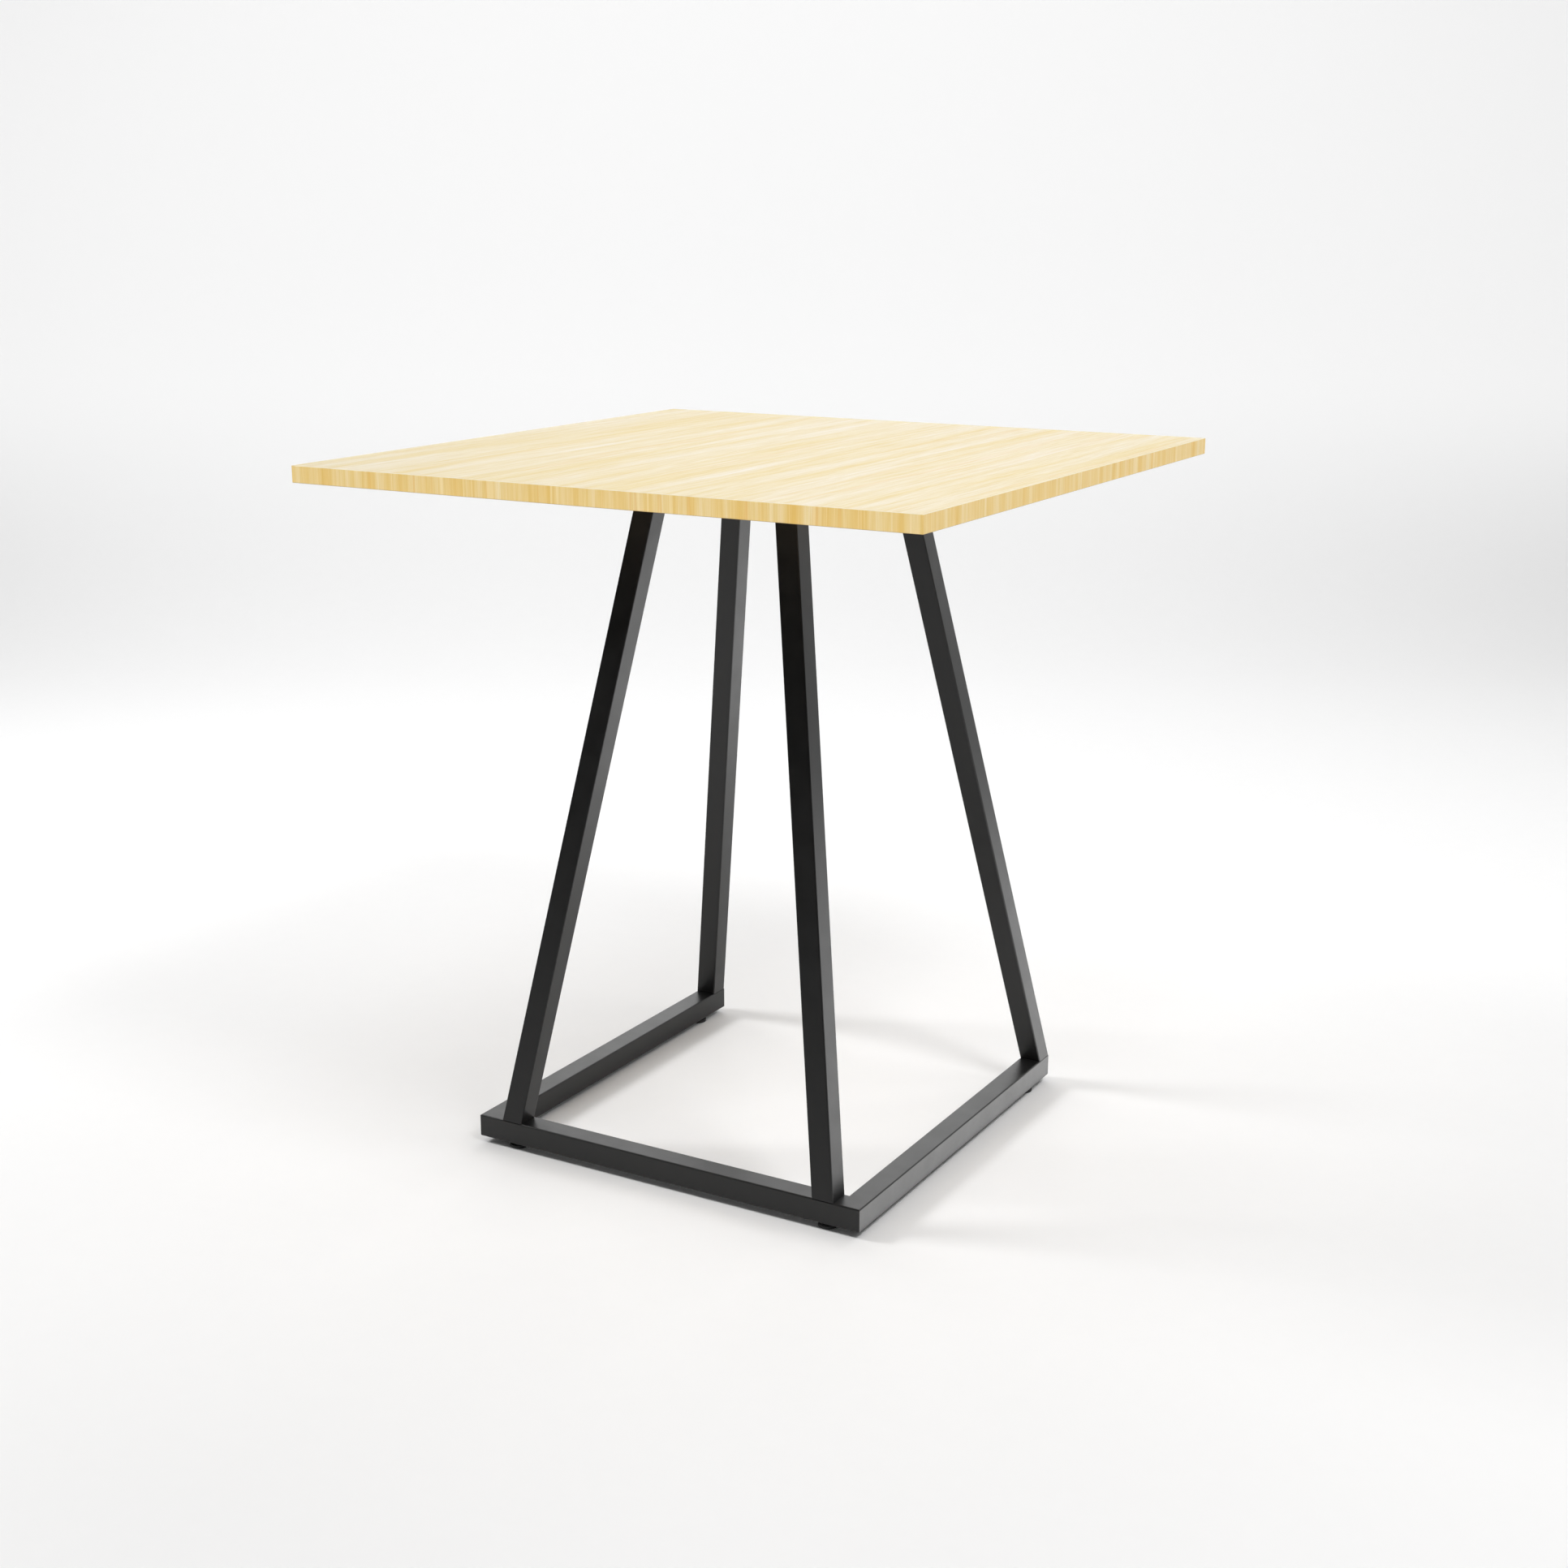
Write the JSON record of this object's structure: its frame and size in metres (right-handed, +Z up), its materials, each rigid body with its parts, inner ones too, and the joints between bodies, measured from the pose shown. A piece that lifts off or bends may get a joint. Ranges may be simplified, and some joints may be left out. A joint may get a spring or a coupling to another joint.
{
  "type": "bistro table",
  "caption": "Square bistro table with a veneered wood top on leaning square-tube legs and a U-shaped base, open at the rear, with levelling feet.",
  "frame": {"origin": "on the floor under the middle of the top", "axes": "+Z up; the closed bar of the U-shaped base is at -Y and its open side at +Y; +X to the right when looking along +Y"},
  "size_m": [0.7, 0.7, 0.746],
  "materials": {
    "face_veneer": "pale veneer with fine straight grain front to back, clear satin lacquer",
    "edge_veneer": "honey cross-grain edge banding, grain upright, clear satin lacquer",
    "backing_veneer": "backing veneer, sealed, matt",
    "core_board": "particle board core, hidden inside the veneers and edge bands",
    "frame_powder_coat": "black satin powder coat with a very fine texture",
    "zinc_fasteners": "bright zinc plate",
    "insert_brass": "plain turned brass",
    "foot_nylon": "black moulded nylon, matt"
  },
  "bodies": {
    "table": {"top_core_panel": "core_board", "top_veneer": "face_veneer", "underside_veneer": "backing_veneer", "front_edge_band": "edge_veneer", "rear_edge_band": "edge_veneer", "left_edge_band": "edge_veneer", "right_edge_band": "edge_veneer", "threaded_inserts": "insert_brass", "front_base_bar": "frame_powder_coat", "left_base_bar": "frame_powder_coat", "right_base_bar": "frame_powder_coat", "base_bar_end_caps": "frame_powder_coat", "front_top_rail": "frame_powder_coat", "rear_top_rail": "frame_powder_coat", "left_top_rail": "frame_powder_coat", "right_top_rail": "frame_powder_coat", "top_rail_end_caps": "frame_powder_coat", "front_left_leg": "frame_powder_coat", "front_left_corner_plate": "frame_powder_coat", "front_right_leg": "frame_powder_coat", "front_right_corner_plate": "frame_powder_coat", "rear_left_leg": "frame_powder_coat", "rear_left_corner_plate": "frame_powder_coat", "rear_right_leg": "frame_powder_coat", "rear_right_corner_plate": "frame_powder_coat", "screw_washers": "zinc_fasteners", "top_screws": "zinc_fasteners", "front_left_foot_nut": "zinc_fasteners", "front_right_foot_nut": "zinc_fasteners", "rear_left_foot_nut": "zinc_fasteners", "rear_right_foot_nut": "zinc_fasteners"},
    "front_left_foot": {"front_left_foot_stud": "zinc_fasteners", "front_left_foot_pad": "foot_nylon"},
    "front_right_foot": {"front_right_foot_stud": "zinc_fasteners", "front_right_foot_pad": "foot_nylon"},
    "rear_left_foot": {"rear_left_foot_stud": "zinc_fasteners", "rear_left_foot_pad": "foot_nylon"},
    "rear_right_foot": {"rear_right_foot_stud": "zinc_fasteners", "rear_right_foot_pad": "foot_nylon"}
  },
  "joints": [
    {"name": "front_left_foot_screw_out", "type": "slide", "parent": "table", "child": "front_left_foot", "axis": [0, 0, -1], "range_m": [0, 0.008]},
    {"name": "front_right_foot_screw_out", "type": "slide", "parent": "table", "child": "front_right_foot", "axis": [0, 0, -1], "range_m": [0, 0.008]},
    {"name": "rear_left_foot_screw_out", "type": "slide", "parent": "table", "child": "rear_left_foot", "axis": [0, 0, -1], "range_m": [0, 0.008]},
    {"name": "rear_right_foot_screw_out", "type": "slide", "parent": "table", "child": "rear_right_foot", "axis": [0, 0, -1], "range_m": [0, 0.008]}
  ]
}
